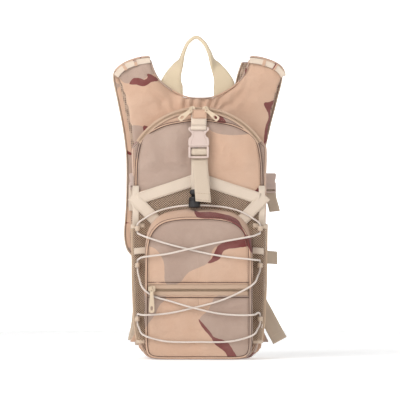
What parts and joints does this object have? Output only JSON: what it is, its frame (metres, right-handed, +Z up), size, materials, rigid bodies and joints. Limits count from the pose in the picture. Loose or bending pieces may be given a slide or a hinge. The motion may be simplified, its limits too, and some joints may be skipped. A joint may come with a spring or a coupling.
{
  "type": "hydration pack",
  "caption": "Small camouflage day pack for a water bladder, with zipped main compartment and front pocket, bungee lacing, netting side pockets, centre buckle, grab handle and shoulder straps.",
  "frame": {"origin": "middle of the flat base of the main compartment", "axes": "+Z up, the laced front faces -Y, the wearer's back is at +Y, +X to the right seen from the front"},
  "size_m": [0.2765, 0.1505, 0.516],
  "materials": {
    "camo_fabric": "plain-weave printed fabric, matte",
    "spacer_mesh": "air mesh, matte",
    "netting": "open knitted netting, matte",
    "webbing": "woven webbing, matte",
    "handle_webbing": "woven webbing, matte",
    "bungee": "braided elastic cord",
    "zip_tape": "zip tape with a moulded coil",
    "zip_metal": "enamelled, satin",
    "buckle_plastic": "fine moulded texture",
    "black_plastic": "satin",
    "cap_plastic": "satin",
    "bladder_film": "soft clear film"
  },
  "bodies": {
    "pack": {"back_panel": "camo_fabric", "back_pad_left": "spacer_mesh", "back_pad_right": "spacer_mesh", "main_shell": "camo_fabric", "main_zip_gusset": "camo_fabric", "main_front_panel": "camo_fabric", "main_zip": "zip_tape", "zip_tab": "camo_fabric", "upper_webbing": "webbing", "lower_webbing": "webbing", "webbing_tail": "webbing", "buckle_female": "buckle_plastic", "chevron_left": "webbing", "diagonal_left": "webbing", "chevron_right": "webbing", "diagonal_right": "webbing", "upper_mesh": "netting", "side_mesh_left": "netting", "side_mesh_right": "netting", "pocket_gusset": "camo_fabric", "pocket_panel_upper": "camo_fabric", "pocket_panel_lower": "camo_fabric", "pocket_zip": "zip_tape", "cord_loop_left_top": "webbing", "cord_loop_left_middle": "webbing", "cord_loop_left_bottom": "webbing", "cord_loop_right_top": "webbing", "cord_loop_right_middle": "webbing", "cord_loop_right_bottom": "webbing", "cord_lock_barrel": "black_plastic", "cord_lock_spring": "black_plastic", "bungee_cord": "bungee", "strap_top_webbing_left": "webbing", "adjuster_webbing_left": "webbing", "strap_top_webbing_right": "webbing", "adjuster_webbing_right": "webbing", "water_bladder": "bladder_film", "side_tab_right": "webbing"},
    "slider_left": {"main_slider_left": "zip_metal"},
    "pull_left": {"main_pull_left": "zip_metal"},
    "slider_right": {"main_slider_right": "zip_metal"},
    "pull_right": {"main_pull_right": "zip_metal"},
    "pocket_slider": {"pocket_slider": "zip_metal"},
    "pocket_pull": {"pocket_pull": "zip_metal"},
    "buckle_male": {"buckle_male": "buckle_plastic"},
    "prong_left": {"buckle_prong_left": "buckle_plastic"},
    "prong_right": {"buckle_prong_right": "buckle_plastic"},
    "plunger": {"cord_lock_plunger": "black_plastic"},
    "handle": {"grab_handle": "handle_webbing"},
    "strap_left": {"shoulder_strap_left": "camo_fabric", "ladder_lock_left": "buckle_plastic", "adjuster_tail_left": "webbing"},
    "strap_right": {"shoulder_strap_right": "camo_fabric", "ladder_lock_right": "buckle_plastic", "adjuster_tail_right": "webbing"},
    "sternum_left": {"sternum_buckle_male": "buckle_plastic", "sternum_webbing_left": "webbing"},
    "sternum_right": {"sternum_buckle_female": "buckle_plastic", "sternum_webbing_right": "webbing"},
    "cap": {"bladder_cap": "cap_plastic"}
  },
  "joints": [
    {"name": "main_zip_left", "type": "hinge", "parent": "pack", "child": "slider_left", "pos_m": [0, -0.025, 0.284], "axis": [0, -1, 0], "range_deg": [0, 50]},
    {"name": "main_zip_right", "type": "hinge", "parent": "pack", "child": "slider_right", "pos_m": [0, -0.025, 0.284], "axis": [0, 1, 0], "range_deg": [0, 50]},
    {"name": "main_pull_lift_left", "type": "hinge", "parent": "slider_left", "child": "pull_left", "pos_m": [-0.01201, -0.0314, 0.39952], "axis": [-0.6293, 0, 0.7771], "range_deg": [0, 100]},
    {"name": "main_pull_lift_right", "type": "hinge", "parent": "slider_right", "child": "pull_right", "pos_m": [0.01201, -0.0314, 0.39952], "axis": [-0.6293, 0, -0.7771], "range_deg": [0, 100]},
    {"name": "pocket_zip_slide", "type": "slide", "parent": "pack", "child": "pocket_slider", "axis": [1, 0, 0], "range_m": [0, 0.118]},
    {"name": "pocket_pull_lift", "type": "hinge", "parent": "pocket_slider", "child": "pocket_pull", "pos_m": [-0.074, -0.071, 0.112], "axis": [-1, 0, 0], "range_deg": [0, 100]},
    {"name": "buckle_release", "type": "slide", "parent": "pack", "child": "buckle_male", "axis": [0, 0, -1], "range_m": [0, 0.022]},
    {"name": "prong_squeeze_left", "type": "hinge", "parent": "buckle_male", "child": "prong_left", "pos_m": [-0.0094, -0.033, 0.3434], "axis": [0, 1, 0], "range_deg": [0, 6], "stiffness_Nm_per_rad": 0.05},
    {"name": "prong_squeeze_right", "type": "hinge", "parent": "buckle_male", "child": "prong_right", "pos_m": [0.0094, -0.033, 0.3434], "axis": [0, 1, 0], "range_deg": [-6, 0], "stiffness_Nm_per_rad": 0.05},
    {"name": "cord_lock_press", "type": "slide", "parent": "pack", "child": "plunger", "axis": [0, 0, -1], "range_m": [0, 0.003], "stiffness_N_per_m": 400, "deforming": ["cord_lock_spring"]},
    {"name": "handle_fold", "type": "hinge", "parent": "pack", "child": "handle", "pos_m": [0, 0.0465, 0.43], "axis": [-1, 0, 0], "range_deg": [0, 80]},
    {"name": "strap_left_swing", "type": "hinge", "parent": "pack", "child": "strap_left", "pos_m": [-0.108, 0.052, 0.478], "axis": [1, 0, 0], "range_deg": [0, 25]},
    {"name": "strap_right_swing", "type": "hinge", "parent": "pack", "child": "strap_right", "pos_m": [0.104, 0.052, 0.478], "axis": [1, 0, 0], "range_deg": [0, 25]},
    {"name": "sternum_left_swing", "type": "hinge", "parent": "strap_left", "child": "sternum_left", "pos_m": [-0.106, 0.064, 0.295], "axis": [0, -1, 0], "range_deg": [-20, 90]},
    {"name": "sternum_right_swing", "type": "hinge", "parent": "strap_right", "child": "sternum_right", "pos_m": [0.1135, 0.064, 0.295], "axis": [0, 1, 0], "range_deg": [-20, 90]},
    {"name": "bladder_cap_turn", "type": "hinge", "parent": "pack", "child": "cap", "pos_m": [0, 0, 0.27], "axis": [0, -1, 0], "range_deg": [0, 90]}
  ],
  "couplings": [
    {"joint": "prong_squeeze_right", "follows": "prong_squeeze_left", "ratio": -1}
  ]
}
